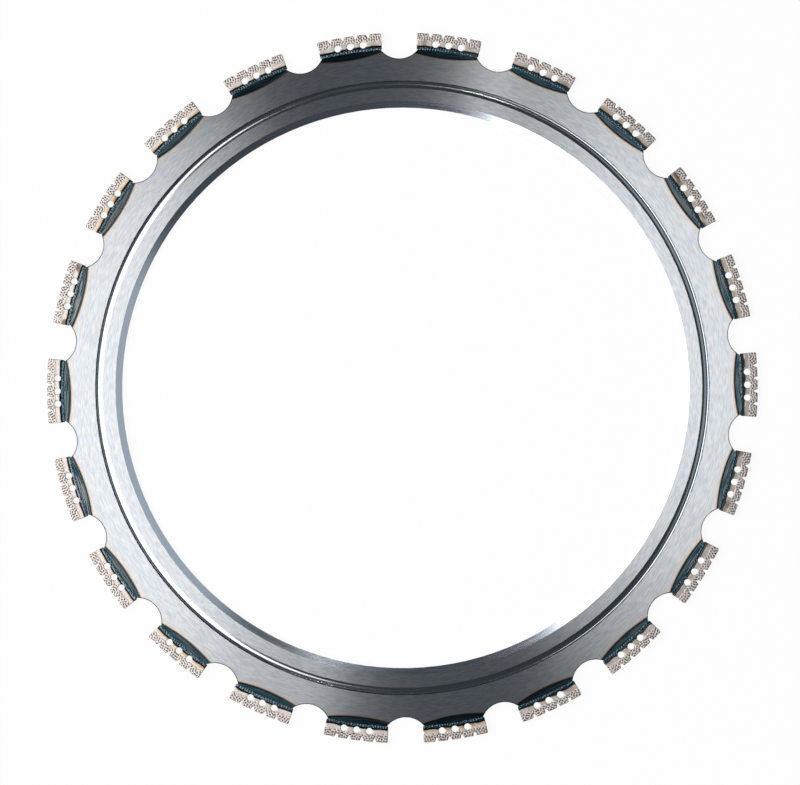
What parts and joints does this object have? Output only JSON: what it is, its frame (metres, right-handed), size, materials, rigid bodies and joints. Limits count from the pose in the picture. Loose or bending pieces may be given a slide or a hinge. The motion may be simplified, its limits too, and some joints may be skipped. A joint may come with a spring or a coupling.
{
  "type": "diamond ring saw blade",
  "caption": "Flat steel ring blade with a bevelled inner driving edge, a guide groove on each face and slotted diamond segments welded to the teeth round its rim.",
  "frame": {"origin": "centre of the ring, halfway through the thickness of the core", "axes": "+Z along the blade's axis, +X through the middle of segment 1; the segments are numbered counter-clockwise seen from +Z"},
  "size_m": [0.37, 0.3694, 0.0044],
  "materials": {
    "core_steel": "circumferentially ground, with blue and straw heat tint round the welds",
    "diamond_segment": "sintered metal bond, rough with diamond grit towards the rim and smooth below it"
  },
  "bodies": {
    "root": {"core": "core_steel", "segment_01": "diamond_segment", "segment_02": "diamond_segment", "segment_03": "diamond_segment", "segment_04": "diamond_segment", "segment_05": "diamond_segment", "segment_06": "diamond_segment", "segment_07": "diamond_segment", "segment_08": "diamond_segment", "segment_09": "diamond_segment", "segment_10": "diamond_segment", "segment_11": "diamond_segment", "segment_12": "diamond_segment", "segment_13": "diamond_segment", "segment_14": "diamond_segment", "segment_15": "diamond_segment", "segment_16": "diamond_segment", "segment_17": "diamond_segment", "segment_18": "diamond_segment", "segment_19": "diamond_segment", "segment_20": "diamond_segment", "segment_21": "diamond_segment", "segment_22": "diamond_segment"}
  },
  "joints": []
}
